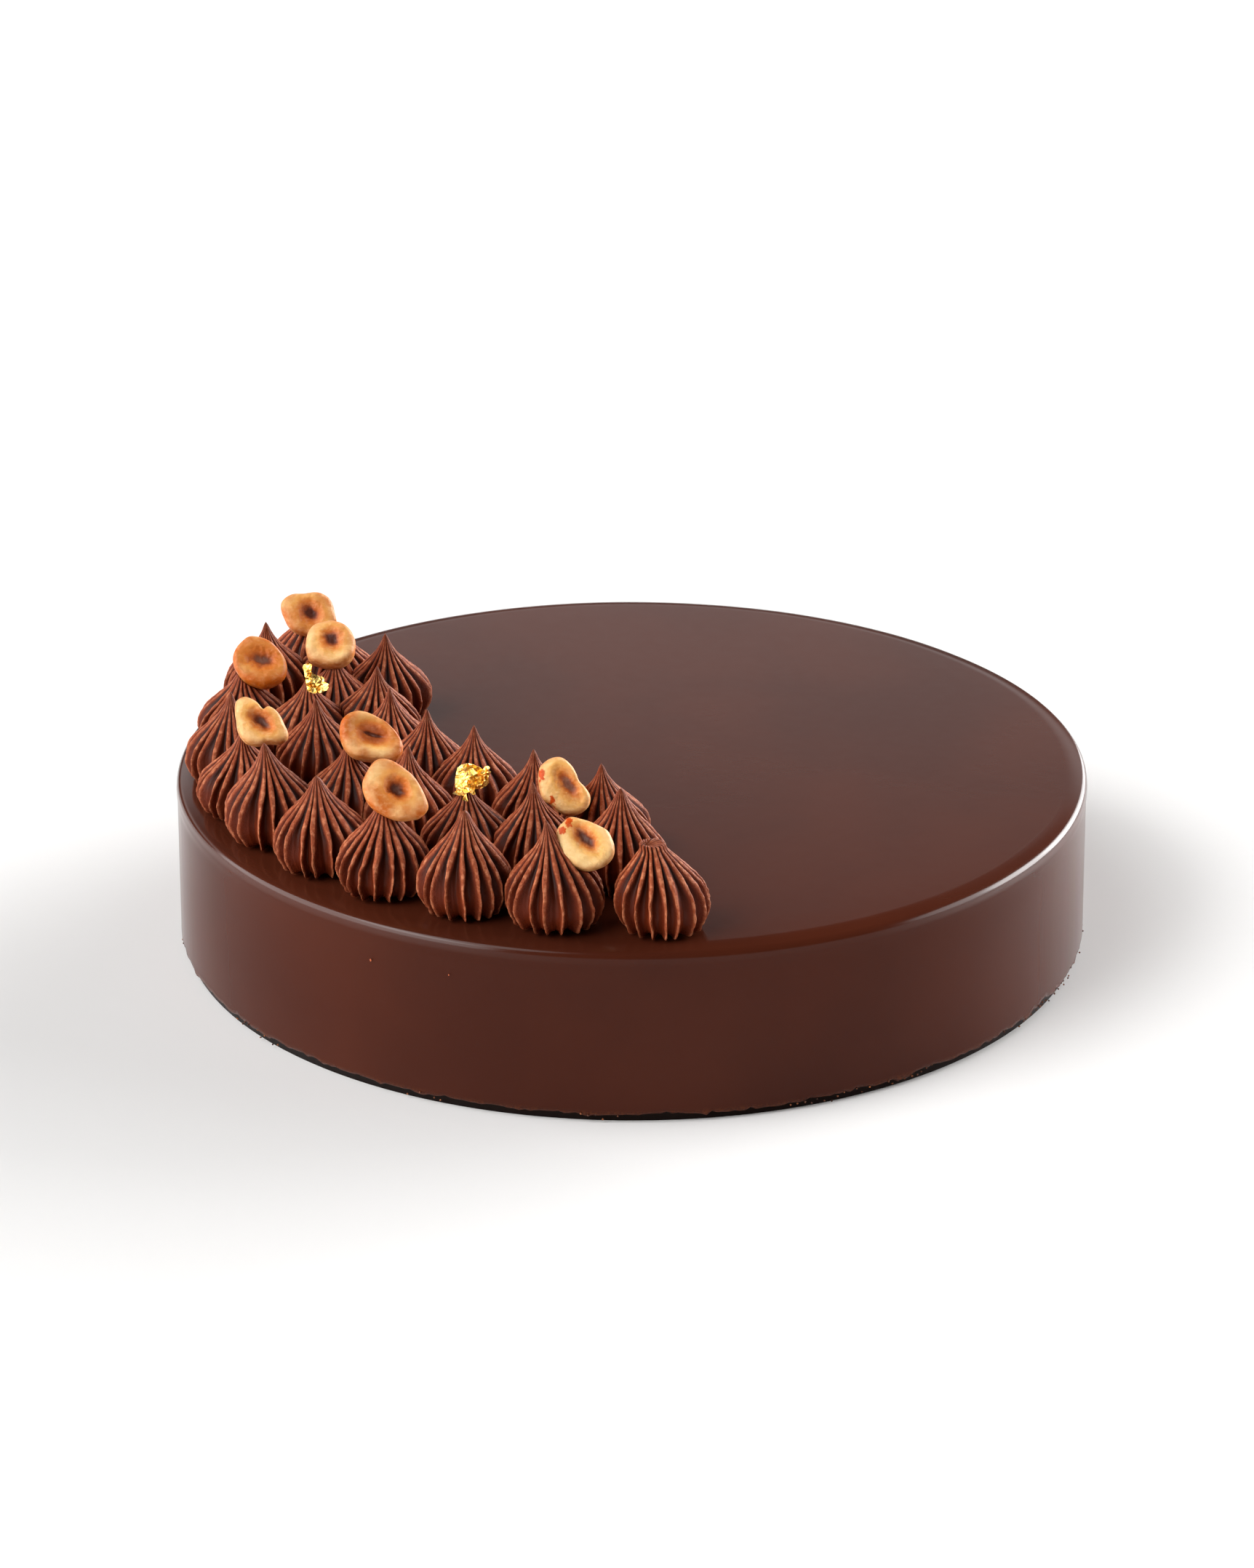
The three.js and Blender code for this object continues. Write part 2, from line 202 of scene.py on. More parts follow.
# Bits of gold leaf: how each lies (degrees), its torn edge in its own plane (millimetres), and its folds:
# a place, the way from it that is bent, and how steeply that part comes to the front
LEAVES = (
    dict(tilt=58, roll=-6, edge=(
        (-3.7, 1.1), (-3.2, 2.8), (-2.2, 3.3), (-0.9, 3.4), (0.1, 3.2), (1.4, 2.7), (2.3, 2.1), (2.8, 2.7),
        (3.4, 2.8), (3.9, 2.3), (3.2, 1.7), (4.0, 1.6), (3.4, 0.5), (3.5, -0.5), (3.0, -1.2), (2.0, -1.8),
        (0.7, -2.1), (0.9, -3.1), (0.3, -3.3), (-0.4, -2.7), (-1.0, -3.1), (-0.5, -4.8), (-1.7, -4.6),
        (-1.5, -3.5), (-2.9, -3.2), (-4.4, -2.5), (-3.4, -2.0), (-3.7, -0.9)),
        folds=((-1.0, 0.0, 180, -0.8), (0.0, -2.1, 270, 0.9), (2.3, -0.7, -45, -1.0))),
    dict(tilt=52, roll=14, edge=(
        (-2.9, 2.6), (-2.5, 3.3), (-1.5, 3.5), (-0.9, 3.0), (-1.0, 2.1), (-0.9, 1.2), (0.3, 0.9), (1.3, 0.6),
        (1.8, -0.1), (1.7, -0.8), (2.8, -1.6), (2.4, -2.9), (1.2, -3.3), (-0.6, -3.5), (-1.7, -2.9),
        (-1.9, -1.6), (-2.2, 0.0), (-2.4, 1.4)),
        folds=((-1.4, 0.0, 180, -0.7), (0.7, -1.0, -10, 0.7))),
)
LEAF_THICKNESS = 0.05 * MM
LEAF_CREASES = 26
LEAF_REACH = 3
LEAF_WELD = 0.12 * MM
LEAF_CRUMPLE = 0.5 * MM
FOLDED_RISE = 0.3 * MM
FOLDED_CRUMPLE = 0.35
CREASE_SEED = 7

# Crumbs along the foot, strewn in and out and up and down about the hem
CRUMBS = 420
CRUMB_SIZE = 0.8 * MM
CRUMB_SIZES = (0.35, 1.0)
CRUMB_LEAST = (-0.7 * MM, 0.0, 0.5 * MM)
CRUMB_MOST = (0.15 * MM, 0.0, 2.0 * MM)
CRUMB_TURNS = (6.28, 6.28, 6.28)
CRUMB_CROWD = 0.52
CRUMB_SEED = 11

# Two specks on the glaze: bearing from the front, height and width; and how a speck is flattened
SPECKS = ((32.1, 29.2, 1.0), (21.7, 29.8, 0.65))
SPECK_SHAPE = (0.2, 0.45, 0.6, 1.0)

# The studio's lights: bearing from the front to the right, height (degrees), strength, breadth (degrees)
LIGHTS = {
    "left window": (-76, 13, 5.9, 84),
    "left box": (-62, 55, 1.3, 40),
    "right window": (102, 9, 3.2, 64),
    "right rear window": (122, 9, 3.9, 52),
    "rear window": (140, 9, 2.7, 40),
}
# The glowing backdrop: its strength, and where it starts to the back, begins and ends upwards
BACKDROP = 1.15
BACKDROP_STARTS = (0.1, 0.5)
BACKDROP_LOW = (0.2, 0.3)
BACKDROP_HIGH = (0.34, 0.46)
SKY = 0.03
FLOOR_REACH = 6.0

# Points nearer to each other than this are welded
WELD = 0.004 * MM


class Wire:
    """A socket in a node tree. Sums on wires add Math nodes, and add() brings in any other node."""

    def __init__(self, tree, socket=None):
        self.tree = tree
        self.socket = socket

    def add(self, kind, settings=None, links=None, out=0):
        """A node of this kind: its settings first, then the values or wires of its sockets."""
        node = self.tree.nodes.new(kind)
        for name, value in (settings or {}).items():
            if name == "stops":
                set_stops(node.color_ramp, value)
            elif name == "points":
                set_points(node.mapping, value)
            else:
                setattr(node, name, value)
        for name, value in (links or {}).items():
            if isinstance(value, Wire):
                self.tree.links.new(value.socket, node.inputs[name])
            else:
                node.inputs[name].default_value = value
        return Wire(self.tree, node.outputs[out])

    def math(self, operation, *values):
        return self.add("ShaderNodeMath", {"operation": operation}, dict(enumerate(values)))

    def vector(self, operation, *values, out=0):
        return self.add("ShaderNodeVectorMath", {"operation": operation}, dict(enumerate(values)), out)

    def joined(self, *parts):
        """A vector from its parts."""
        return self.add("ShaderNodeCombineXYZ", None, dict(enumerate(parts)))

    def part(self, axis):
        """One part of this vector: 0 across, 1 along, 2 up."""
        return self.add("ShaderNodeSeparateXYZ", None, {0: self}, out=axis)

    def upward(self):
        """This length as a vector that points up."""
        return self.add("ShaderNodeCombineXYZ", None, {2: self})

    def plus(self, other):
        return self.vector("ADD", self, other)

    def minus(self, other):
        return self.vector("SUBTRACT", self, other)

    def stretched(self, sizes):
        return self.vector("MULTIPLY", self, sizes)

    def times(self, size):
        """This vector made longer or shorter."""
        return self.add("ShaderNodeVectorMath", {"operation": "SCALE"}, {0: self, "Scale": size})

    def dot(self, other):
        return self.vector("DOT_PRODUCT", self, other, out=1)

    def length(self):
        return self.vector("LENGTH", self, out=1)

    def clamp(self):
        return self.add("ShaderNodeClamp", None, {0: self})

    def ramp(self, low, high):
        """0 where this is low, 1 where it is high, with soft ends."""
        settings = {"interpolation_type": "SMOOTHSTEP"}
        return self.add("ShaderNodeMapRange", settings, {0: self, 1: low, 2: high, 3: 0.0, 4: 1.0})

    def mix(self, factor, first, second):
        """The first colour turning into the second."""
        settings = {"data_type": "RGBA"}
        return self.add("ShaderNodeMix", settings, {0: factor, 6: first, 7: second}, out=2)

    def noise(self, place, scale, detail=2.0, rough=0.5):
        links = {"Vector": place, "Scale": scale, "Detail": detail, "Roughness": rough}
        return self.add("ShaderNodeTexNoise", None, links)

    def bump(self, strength, distance):
        """A surface's direction with this relief on it."""
        return self.add("ShaderNodeBump", None, {"Strength": strength, "Distance": distance, "Height": self})

    def __add__(self, other):
        return self.math("ADD", self, other)

    def __radd__(self, other):
        return self.math("ADD", other, self)

    def __sub__(self, other):
        return self.math("SUBTRACT", self, other)

    def __rsub__(self, other):
        return self.math("SUBTRACT", other, self)

    def __mul__(self, other):
        return self.math("MULTIPLY", self, other)

    def __rmul__(self, other):
        return self.math("MULTIPLY", other, self)

    def __truediv__(self, other):
        return self.math("DIVIDE", self, other)

    def __rtruediv__(self, other):
        return self.math("DIVIDE", other, self)

    def __pow__(self, power):
        return self.math("POWER", self, power)


def set_stops(color_ramp, stops):
    """A colour ramp's stops: places and colours."""
    while len(color_ramp.elements) < len(stops):
        color_ramp.elements.new(1.0)
    for element, (place, colour) in zip(color_ramp.elements, stops):
        element.position = place
        element.color = colour


def set_points(mapping, points):
    """A float curve's points, of any height."""
    mapping.use_clip = False
    curve = mapping.curves[0]
    while len(curve.points) < len(points):
        curve.points.new(0.5, 0.5)
    for point, place in zip(curve.points, points):
        point.location = place
    mapping.update()


def colour(red, green, blue):
    """A colour given as it looks on screen, 0 to 255."""
    def linear(value):
        share = value / 255
        return share / 12.92 if share <= 0.04045 else ((share + 0.055) / 1.055) ** 2.4
    return (linear(red), linear(green), linear(blue), 1.0)


# Finishes

def new_finish(name, **fixed):
    """A material with its shader's fixed sockets set; gives it, a wire to build on and the shader."""
    material = bpy.data.materials.new(name)
    material.use_nodes = True
    tree = material.node_tree
    tree.nodes.clear()
    shader = tree.nodes.new("ShaderNodeBsdfPrincipled")
    for label, value in fixed.items():
        shader.inputs[label.replace("_", " ")].default_value = value
    output = tree.nodes.new("ShaderNodeOutputMaterial")
    tree.links.new(shader.outputs[0], output.inputs["Surface"])
    return material, Wire(tree), shader


def connect(shader, **wires):
    """Links wires to the shader's sockets of these names."""
    for label, wire in wires.items():
        wire.tree.links.new(wire.socket, shader.inputs[label.replace("_", " ")])


def millimetres(wire):
    """Object coordinates in millimetres."""
    return wire.add("ShaderNodeTexCoord", out="Object").times(1000.0)


def attribute(wire, name):
    """A number stored on the mesh."""
    return wire.add("ShaderNodeAttribute", {"attribute_name": name}, out="Fac")


def glaze_finish():
    """Set chocolate glaze: deep brown and glossy, with faint runs and a torn hem; its foot under the hem is
    painted near-black as shade.
    """
    material, wire, shader = new_finish(
        "chocolate_glaze", IOR=1.34, Specular_IOR_Level=0.2, Coat_Roughness=0.17)
    place = millimetres(wire)
    across = place.part(0)
    along = place.part(1)
    height = place.part(2)
    reach = place.stretched((1.0, 1.0, 0.0)).length()
    cloud = wire.noise(place, 0.02, 3.0)
    runs = wire.noise(place.stretched((1.0, 1.0, 0.06)), 0.35, 3.0)
    specks = wire.noise(place, 2.2, 2.0)
    hem = 1 - height.ramp(*HEM_RISE)
    # Painted shade: the foot under the hem is coloured near-black
    foot = (1 - reach.ramp(*SHADED_FOOT_REACH)) * (1 - height.ramp(*SHADED_FOOT_RISE))
    body = wire.mix(cloud.ramp(0.3, 0.7), colour(62, 26, 15), colour(70, 30, 17))
    torn = wire.mix(hem * specks.ramp(0.4, 0.65) * 0.8, body, colour(112, 58, 28))
    base = wire.mix(foot, torn, colour(22, 10, 6))
    rough = 0.13 + runs * 0.06 + hem * 0.25
    relief = runs * 0.2 + specks * hem * 0.8
    sheen = (0.4 + 0.25 * across.ramp(*SHINE_GROWS)) * (1 - 0.75 * across.ramp(*SHINE_ENDS))
    calm = across.ramp(*CALM_STARTS) * (1 - across.ramp(*CALM_ENDS)) * (1 - along.ramp(*CALM_BACK))
    shine = height.ramp(*SHINE_RISE) * reach.ramp(*SHINE_REACH) * sheen * (1 - 0.85 * calm)
    connect(shader, Base_Color=base, Roughness=rough, Coat_Weight=shine, Normal=relief.bump(0.1, 0.0004))
    return material


def ganache_finish():
    """Piped ganache: grooves painted dark as shade, darker higher up, between grainy orange-brown ridges with
    painted highlights on their crests; the whole paler near the tip.
    """
    material, wire, shader = new_finish("piped_ganache", IOR=1.4, Specular_IOR_Level=0.18)
    place = millimetres(wire)
    crest = attribute(wire, "crest")
    level = attribute(wire, "level")
    grain = wire.noise(place, 3.0, 3.0, 0.7)
    patches = wire.noise(place, 0.35, 3.0)
    strokes = wire.noise(place, 0.8, 3.0)
    # Painted shade: the grooves are coloured darker than the ridges, and darker higher up the kiss
    shaded_groove = wire.mix(level.ramp(0.15, 0.6), colour(95, 34, 14), colour(36, 9, 2))
    edge = (crest + (patches - 0.5) * 0.3).clamp()
    body = wire.mix(edge.ramp(0.15, 0.7), shaded_groove, colour(104, 38, 15))
    # The crests are painted lighter: partly their coarser grain, partly painted highlight
    grainy_lit_crest = edge.ramp(0.6, 1.0) * (0.5 + 0.5 * grain.ramp(0.35, 0.65))
    ridge = wire.mix(grainy_lit_crest, body, colour(158, 73, 41))
    # Painted highlights: pale glints in strokes along the crests
    glint = (0.08 + 0.5 * strokes.ramp(0.42, 0.7)) * (0.7 + 0.3 * grain.ramp(0.4, 0.65))
    lit = wire.mix(edge.ramp(0.66, 1.0) * glint, ridge, colour(238, 156, 112))
    base = wire.mix(level.ramp(0.62, 0.9) * 0.35, lit, colour(126, 60, 37))
    rough = 0.36 + (grain - 0.5) * 0.2
    relief = grain * (0.25 + 1.1 * crest)
    connect(shader, Base_Color=base, Roughness=rough, Normal=relief.bump(0.8, 0.0004))
    return material


def hazelnut_finish():
    """Roasted hazelnut: cream to gold, browned round its slit, with red-brown flecks of skin; its back and
    edges darker orange, partly roasting and partly painted shade; pale cream streaks on its face, partly
    painted sheen.
    """
    material, wire, shader = new_finish(
        "roasted_hazelnut", Subsurface_Weight=0.08, Subsurface_Scale=0.0015, Specular_IOR_Level=0.22)
    place = millimetres(wire)
    browned = attribute(wire, "browned")
    face = attribute(wire, "face")
    roast = attribute(wire, "roast")
    skin = attribute(wire, "skin")
    dull = attribute(wire, "dull")
    cloud = wire.noise(place, 0.4, 3.0)
    broad = wire.noise(place, 0.16, 2.0)
    fibres = wire.noise(place, 1.7, 4.0, 0.6)
    streaks = wire.noise(place.stretched((0.8, 1.3, 1.2)), 0.9, 4.0, 0.6)
    stops = (
        (0.0, colour(242, 200, 136)), (0.28, colour(234, 174, 94)), (0.48, colour(212, 126, 56)),
        (0.66, colour(172, 86, 40)), (0.84, colour(120, 56, 32)), (1.0, colour(72, 32, 22)),
    )
    ring = (browned + (fibres - 0.5) * 0.14).clamp()
    pale = wire.add("ShaderNodeValToRGB", {"stops": stops}, {0: ring})
    # Darker orange round the back and edges: partly the roasted outside, partly painted shade on the rims
    edge = wire.mix((1 - face) * (0.55 + cloud * 0.45), pale, colour(196, 114, 48))
    toast = (roast * (0.15 + broad.ramp(0.25, 0.7) * 1.3)).clamp()
    gold = wire.mix(toast * (1 - ring * 0.9), edge, colour(188, 92, 16))
    # Pale cream streaks on the face: partly the nut's own paler patches, partly painted sheen
    cream_sheen_streaks = streaks.ramp(0.42, 0.76) * 0.36 * (1 - ring) * (1.3 - roast * 0.8)
    cream_sheen_streaked = wire.mix(cream_sheen_streaks, gold, colour(255, 220, 164))
    hollow = wire.mix(dull * (0.5 + fibres * 0.8), cream_sheen_streaked, colour(128, 92, 78))
    base = wire.mix((skin * (0.6 + fibres)).clamp(), hollow, colour(204, 76, 10))
    rough = 0.34 + fibres * 0.2
    relief = fibres * 0.6 + cloud + streaks * 0.8
    connect(shader, Base_Color=base, Roughness=rough, Normal=relief.bump(0.4, 0.0005))
    return material


def gold_finish():
    """Gold leaf: bright metal, finely crinkled."""
    material, wire, shader = new_finish("gold_leaf", Metallic=1.0)
    crinkle = wire.noise(millimetres(wire), 2.0, 4.0, 0.6)
    base = wire.mix(crinkle.ramp(0.35, 0.6), colour(242, 178, 68), colour(255, 224, 136))
    rough = 0.18 + crinkle * 0.2
    connect(shader, Base_Color=base, Roughness=rough, Normal=crinkle.bump(0.5, 0.0003))
    return material


def crumb_finish():
    """Crumbs of sponge and glaze: matt browns."""
    material, wire, shader = new_finish("cake_crumb")
    place = millimetres(wire)
    tint = wire.noise(place, 0.8, 2.0)
    base = wire.mix(tint.ramp(0.35, 0.65), colour(62, 28, 15), colour(156, 88, 42))
    grain = wire.noise(place, 5.0, 3.0)
    connect(shader, Base_Color=base, Roughness=0.6 + tint * 0.2, Normal=grain.bump(0.5, 0.0002))
    return material


def speck_finish():
    """Specks on the glaze: orange-brown."""
    material, wire, shader = new_finish("orange_speck")
    tint = wire.noise(millimetres(wire), 3.0, 2.0)
    base = wire.mix(tint, colour(150, 62, 28), colour(204, 104, 48))
    connect(shader, Base_Color=base, Roughness=0.4 + tint * 0.2)
    return material


def floor_finish():
    """The plain pale floor."""
    material, wire, shader = new_finish("pale_floor", Roughness=0.6)
    mottle = wire.noise(millimetres(wire), 0.004, 2.0)
    connect(shader, Base_Color=wire.mix(mottle, colour(228, 227, 226), colour(232, 231, 230)))
    return material


# Geometry Nodes trees

def new_tree(name, inputs):
    """A tree with these named inputs; gives it and a wire for each of them."""
    tree = bpy.data.node_groups.new(name, "GeometryNodeTree")
    for label, kind in inputs.items():
        tree.interface.new_socket(name=label, in_out="INPUT", socket_type="NodeSocket" + kind)
    tree.interface.new_socket(name="Geometry", in_out="OUTPUT", socket_type="NodeSocketGeometry")
    source = tree.nodes.new("NodeGroupInput")
    return tree, {label: Wire(tree, source.outputs[label]) for label in inputs}


def end_tree(mesh, material):
    """Ends a tree: smooth faces, instances made real, and the material."""
    smooth = mesh.add("GeometryNodeSetShadeSmooth", None, {0: mesh})
    real = mesh.add("GeometryNodeRealizeInstances", None, {0: smooth})
    coated = mesh.add("GeometryNodeSetMaterial", None, {0: real, "Material": material})
    output = mesh.tree.nodes.new("NodeGroupOutput")
    mesh.tree.links.new(coated.socket, output.inputs[0])


def grown(name, tree, values):
    """A plain mesh object made by the tree from these values of its inputs."""
    piece = bpy.data.objects.new(name, bpy.data.meshes.new(name + "_start"))
    scene.collection.objects.link(piece)
    modifier = piece.modifiers.new("tree", "NODES")
    modifier.node_group = tree
    for item in tree.interface.items_tree:
        if item.in_out == "INPUT":
            modifier[item.identifier] = values[item.name]
    depsgraph = bpy.context.evaluated_depsgraph_get()
    mesh = bpy.data.meshes.new_from_object(piece.evaluated_get(depsgraph))
    mesh.name = name
    piece.modifiers.clear()
    piece.data = mesh
    return piece


def stored(mesh, name, value):
    """The mesh with a named number on each of its points."""
    links = {"Geometry": mesh, "Name": name, "Value": value}
    return mesh.add("GeometryNodeStoreNamedAttribute", {"data_type": "FLOAT", "domain": "POINT"}, links)


def shape_of(thing):
    """The geometry of an object that a tree is given."""
    return thing.add("GeometryNodeObjectInfo", None, {"Object": thing}, out="Geometry")


def wrapped_sheet(tree, rings, columns):
    """A sheet to be wrapped round an axis, with wires that run 0 to 1 along it and around it."""
    wire = Wire(tree)
    size = {"Size X": 1.0, "Size Y": 1.0, "Vertices X": rings, "Vertices Y": columns + 1}
    sheet = wire.add("GeometryNodeMeshGrid", None, size)
    place = wire.add("GeometryNodeInputPosition")
    along = place.part(0) + 0.5
    around = place.part(1) + 0.5
    return sheet, along, around


def closed(sheet, position):
    """The sheet moved to its position, with its seam and ends welded."""
    moved = sheet.add("GeometryNodeSetPosition", None, {"Geometry": sheet, "Position": position})
    return sheet.add("GeometryNodeMergeByDistance", None, {"Geometry": moved, "Distance": WELD})


def heading(angle):
    """The level direction at an angle."""
    return angle.joined(angle.math("COSINE", angle), angle.math("SINE", angle))


def squeezed(reach, axis, direction, foot, others):
    """A point's reach from its kiss's axis, cut half-way to the neighbour that it comes nearest to."""
    spots = reach.add("GeometryNodeInputPosition")
    point = foot.plus(axis).plus(direction.times(reach))
    links = {"Geometry": others, "Sample Position": point}
    nearest = reach.add("GeometryNodeSampleNearest", {"domain": "POINT"}, links)
    settings = {"data_type": "FLOAT_VECTOR", "domain": "POINT"}
    links = {"Geometry": others, "Value": spots, "Index": nearest}
    neighbour = reach.add("GeometryNodeSampleIndex", settings, links)
    away = neighbour.minus(foot)
    toward = reach.vector("NORMALIZE", away)
    facing = reach.math("MAXIMUM", toward.dot(direction), LEAST_FACING)
    allowed = (away.length() * 0.5 - NEIGHBOUR_GAP / 2 - toward.dot(axis)) / facing
    return reach.math("SMOOTH_MIN", reach, allowed, SQUEEZE_SOFT)


def pressed(position, foot, nuts):
    """A kiss's point, kept under any nut that lies over it."""
    rise = position.part(2) - foot.part(2)
    links = {
        "Target Geometry": nuts, "Source Position": position.minus(rise.upward()),
        "Ray Direction": (0.0, 0.0, 1.0), "Ray Length": NUT_SEARCH,
    }
    over = position.add("GeometryNodeRaycast", None, links, out="Is Hit")
    way = Wire(position.tree, over.socket.node.outputs["Hit Distance"])
    drop = over * position.math("MAXIMUM", rise - way + NUT_GAP, 0.0)
    return position.minus(drop.upward())


def kiss_tree(material):
    """One piped kiss: sharp uneven ribs on an onion dome that leans, twists and meets its neighbours."""
    inputs = {
        "Foot": "Vector", "Radius": "Float", "Height": "Float", "Lean": "Vector", "Twist": "Float",
        "Turn": "Float", "Slim": "Float", "Top": "Float", "Flare": "Float", "Others": "Object",
        "Nuts": "Object", "Seed": "Float",
    }
    tree, given = new_tree("piped kiss", inputs)
    sheet, along, around = wrapped_sheet(tree, KISS_RINGS, KISS_RIBS * RIB_COLUMNS)
    wire = Wire(tree)
    seed = given["Seed"]
    level = ((along - SOLE_PART) / (1 - SOLE_PART)).clamp()
    sole = (along / SOLE_PART).clamp()
    cut = wire.math("MINIMUM", level, given["Top"])
    outline = wire.add("ShaderNodeFloatCurve", {"points": KISS_OUTLINE}, {0: 1.0, 1: cut}).clamp()
    share = outline ** (1 + (given["Slim"] - 1) * cut.ramp(0.15, 0.3))
    cap = ((1 - level) / (1.001 - given["Top"])).clamp()
    button = 1 + given["Flare"] * cut.ramp(BLUNT_LEVEL - BLUNT_BUTTON, BLUNT_LEVEL)

    rib = around * KISS_RIBS
    number = wire.math("FLOORED_MODULO", wire.math("FLOOR", rib + 0.001), KISS_RIBS)
    chance = wire.add("ShaderNodeTexWhiteNoise", {"noise_dimensions": "1D"}, {"W": number + seed * 31.7})
    across = wire.math("FRACT", rib + 0.001) * 2 - 1
    side = wire.math("ABSOLUTE", across) ** CREST_CROWDING
    upper = level.ramp(0.3, 0.7)
    flank = side.ramp(0.04 + 0.3 * upper, 0.5 + 0.5 * upper)
    crest = 1 - flank * (1 - GROOVE_SLOPE) - side * GROOVE_SLOPE

    turn = (number + 0.5 + 0.5 * side * wire.math("SIGN", across)) * (2 * math.pi / KISS_RIBS)
    ring = heading(turn).plus(wire.joined(seed * 5.3, seed * 2.9, level * 1.7))
    wander = (wire.noise(ring, 1.4) - 0.5) * RIB_WANDER * (0.3 + level)
    lift = (given["Height"] * level + seed * 0.03).upward()
    spot = heading(turn).times(given["Radius"] * share).plus(lift).times(1000.0)
    wave = (wire.noise(spot, 0.3, 1.0) - 0.5) * (WAVE / WAVE_RADIUS)
    jitter = ((chance - 0.5) * RIB_SPREAD + wave) * crest
    direction = heading(turn + given["Turn"] + given["Twist"] * level + wander + jitter)

    lump = 1 + (wire.noise(ring, 1.1, 1.0) - 0.5) * KISS_LUMP
    depth = RIB_DEPTH * (0.75 + 0.5 * chance) * (1 - crest) * (1 - 0.4 * level.ramp(0.6, 0.95))
    toe = (1 - level / TOE_LEVEL).clamp()
    grain = (wire.noise(spot, 1.5, 2.0, 0.6) - 0.5) * GRAIN
    beads = (wire.noise(spot, 0.45, 1.0) - 0.5) * BEADS
    rough = (grain + beads) * crest * (share * 1.6).clamp()
    foot_edge = toe * (crest * (TOE_OUT * (0.3 + chance)) - (1 - crest) * GROOVE_IN)
    reach = (given["Radius"] * share * cap * button * lump * (1 - depth) + rough + foot_edge) * sole

    own = wire.vector("DISTANCE", wire.add("GeometryNodeInputPosition"), given["Foot"], out=1)
    links = {"Geometry": shape_of(given["Others"]), "Selection": wire.math("LESS_THAN", own, OWN_FOOT)}
    others = wire.add("GeometryNodeDeleteGeometry", {"domain": "POINT"}, links)
    axis = given["Lean"].times(level * level)
    for again in range(SQUEEZES):
        reach = squeezed(reach, axis, direction, given["Foot"], others)

    dip = (1 - cap).clamp() * level.ramp(given["Top"], 1.0) * BLUNT_DIP
    rise = given["Height"] * cut + toe * (1 - crest) * GROOVE_LIFT - dip
    outward = axis.plus(direction.times(reach))
    position = given["Foot"].plus(outward).plus(rise.upward())
    marked = stored(stored(sheet, "crest", (1 - flank) * sole), "level", cut)
    end_tree(closed(marked, pressed(position, given["Foot"], shape_of(given["Nuts"]))), material)
    return tree


def nut_tree(material):
    """One hazelnut half: a rounded lump inside its edge, with a dished face and a slit, turned to its lie."""
    inputs = {
        "Edge": "Object", "Slit": "Vector", "Slit Angle": "Float", "Slit Length": "Float",
        "Slit Width": "Float", "Slit Depth": "Float", "Halo": "Float", "Soft": "Float", "Ink": "Float",
        "Dull": "Float", "Dish": "Float", "Roast": "Float", "Fleck A": "Vector", "Fleck B": "Vector",
        "Lie": "Rotation", "Middle": "Vector", "Seed": "Float",
    }
    tree, given = new_tree("hazelnut half", inputs)
    sheet, along, around = wrapped_sheet(tree, NUT_RINGS, NUT_COLUMNS)
    wire = Wire(tree)
    out = wire.add("ShaderNodeFloatCurve", {"points": NUT_OUT}, {0: 1.0, 1: along})
    up = wire.add("ShaderNodeFloatCurve", {"points": NUT_UP}, {0: 1.0, 1: along})
    path = wire.add("GeometryNodeMeshToCurve", None, {"Mesh": shape_of(given["Edge"])})
    smooth = wire.add("GeometryNodeCurveSplineType", {"spline_type": "CATMULL_ROM"}, {"Curve": path})
    links = {"Curves": smooth, "Factor": around}
    edge = wire.add("GeometryNodeSampleCurve", {"mode": "FACTOR"}, links, out="Position")
    seed = wire.joined(given["Seed"] * 7.1, given["Seed"] * 3.7, up * 0.8)
    ball = edge.times(out / NUT_HALF_WIDTH).plus(seed)
    lumps = (wire.noise(ball, 1.2, 2.0) - 0.5) * NUT_LUMP
    flat = edge.times(out * (1 + lumps))

    face = along.ramp(0.42, 0.62)
    from_slit = flat.minus(given["Slit"])
    wiggle = (wire.noise(flat.times(1000.0).plus(seed), 0.55, 2.0) - 0.5) * 1.1
    down_slit = from_slit.dot(heading(given["Slit Angle"])) / given["Slit Length"] + wiggle * 0.4
    cross_slit = from_slit.dot(heading(given["Slit Angle"] + math.pi / 2)) / given["Slit Width"] + wiggle
    off_slit = wire.math("SQRT", down_slit * down_slit + cross_slit * cross_slit)
    spread = HALO_WIDTH * given["Halo"]
    wide_cross = cross_slit * given["Slit Width"] / (given["Slit Width"] + spread)
    wide_down = down_slit * given["Slit Length"] / (given["Slit Length"] + spread)
    off_halo = wire.math("SQRT", wide_down * wide_down + wide_cross * wide_cross)
    sunk = given["Slit Depth"] * (1 - off_slit.ramp(0.2, 1.9))
    dished = given["Dish"] * (1 - off_halo.ramp(0.5, 1.4))
    waves = (wire.noise(ball, 1.4, 2.0) - 0.5) * along.ramp(0.3, 0.5) * FACE_WAVES
    rise = up * NUT_DEPTH + waves - (sunk + dished) * face
    turned = wire.add("FunctionNodeRotateVector", None, {0: flat.plus(rise.upward()), 1: given["Lie"]})
    position = turned.plus(given["Middle"])

    dark = 1 - off_slit.ramp(0.35, 1.35)
    core = 1 - off_slit.ramp(0.3, 0.85)
    toasted = 1 - off_halo.ramp(0.3, given["Soft"])
    ragged = wire.noise(flat.times(1000.0), 1.3, 3.0) - 0.5
    flecks = [flat.minus(given[label]).stretched(sizes).length() for label, sizes in FLECK_SHAPES.items()]
    off_fleck = wire.math("MINIMUM", *flecks) + ragged * FLECK_RAGGED
    marks = {
        "browned": (toasted * 0.64 + dark * 0.4) * face * given["Ink"],
        "dull": core * given["Dull"],
        "face": face,
        "roast": given["Roast"],
        "skin": (1 - off_fleck.ramp(*FLECK_EDGE)) * along.ramp(0.25, 0.35),
    }
    for name, value in marks.items():
        sheet = stored(sheet, name, value)
    end_tree(closed(sheet, position), material)
    return tree


